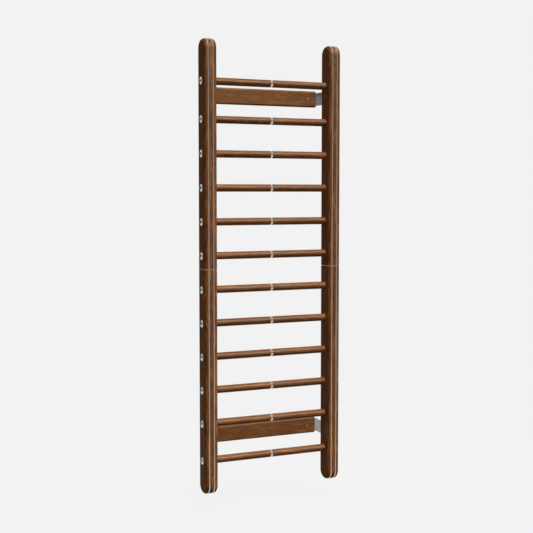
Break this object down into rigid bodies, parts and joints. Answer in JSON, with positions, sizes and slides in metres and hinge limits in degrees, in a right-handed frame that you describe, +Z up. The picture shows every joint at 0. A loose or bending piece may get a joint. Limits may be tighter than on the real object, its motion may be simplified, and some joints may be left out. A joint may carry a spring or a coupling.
{
  "type": "swedish wall bars",
  "caption": "Tall wall-mounted exercise ladder: round split rungs with steel rings, clamped between laminated wood and steel uprights that stand off the wall on bracketed boards.",
  "frame": {"origin": "on the wall plane, at the centre of the upper wall board's back face", "axes": "+Z up, +X along the rungs, +Y into the wall; the front faces -Y"},
  "size_m": [0.8206, 0.211, 2.42],
  "materials": {
    "upright_wood": "dark brown stained timber with dark streaks along its length, satin oil",
    "rung_wood": "brown stained round timber, satin oil",
    "board_wood": "brown stained timber, satin oil",
    "plate_steel": "brushed, warm grey",
    "rung_steel": "turned and polished"
  },
  "bodies": {
    "root": {"left_lower_inner_layer": "upright_wood", "left_lower_inner_plate": "plate_steel", "left_lower_middle_layer": "upright_wood", "left_lower_outer_plate": "plate_steel", "left_lower_outer_layer": "upright_wood", "left_upper_inner_layer": "upright_wood", "left_upper_inner_plate": "plate_steel", "left_upper_middle_layer": "upright_wood", "left_upper_outer_plate": "plate_steel", "left_upper_outer_layer": "upright_wood", "left_joint_plate": "plate_steel", "right_lower_inner_layer": "upright_wood", "right_lower_inner_plate": "plate_steel", "right_lower_middle_layer": "upright_wood", "right_lower_outer_plate": "plate_steel", "right_lower_outer_layer": "upright_wood", "right_upper_inner_layer": "upright_wood", "right_upper_inner_plate": "plate_steel", "right_upper_middle_layer": "upright_wood", "right_upper_outer_plate": "plate_steel", "right_upper_outer_layer": "upright_wood", "right_joint_plate": "plate_steel", "lower_wall_board": "board_wood", "upper_wall_board": "board_wood", "rung_01_left_half": "rung_wood", "rung_01_right_half": "rung_wood", "rung_01_tie_rod": "rung_steel", "rung_02_left_half": "rung_wood", "rung_02_right_half": "rung_wood", "rung_02_tie_rod": "rung_steel", "rung_03_left_half": "rung_wood", "rung_03_right_half": "rung_wood", "rung_03_tie_rod": "rung_steel", "rung_04_left_half": "rung_wood", "rung_04_right_half": "rung_wood", "rung_04_tie_rod": "rung_steel", "rung_05_left_half": "rung_wood", "rung_05_right_half": "rung_wood", "rung_05_tie_rod": "rung_steel", "rung_06_left_half": "rung_wood", "rung_06_right_half": "rung_wood", "rung_06_tie_rod": "rung_steel", "rung_07_left_half": "rung_wood", "rung_07_right_half": "rung_wood", "rung_07_tie_rod": "rung_steel", "rung_08_left_half": "rung_wood", "rung_08_right_half": "rung_wood", "rung_08_tie_rod": "rung_steel", "rung_09_left_half": "rung_wood", "rung_09_right_half": "rung_wood", "rung_09_tie_rod": "rung_steel", "rung_10_left_half": "rung_wood", "rung_10_right_half": "rung_wood", "rung_10_tie_rod": "rung_steel", "rung_11_left_half": "rung_wood", "rung_11_right_half": "rung_wood", "rung_11_tie_rod": "rung_steel", "rung_12_left_half": "rung_wood", "rung_12_right_half": "rung_wood", "rung_12_tie_rod": "rung_steel"}
  },
  "joints": []
}
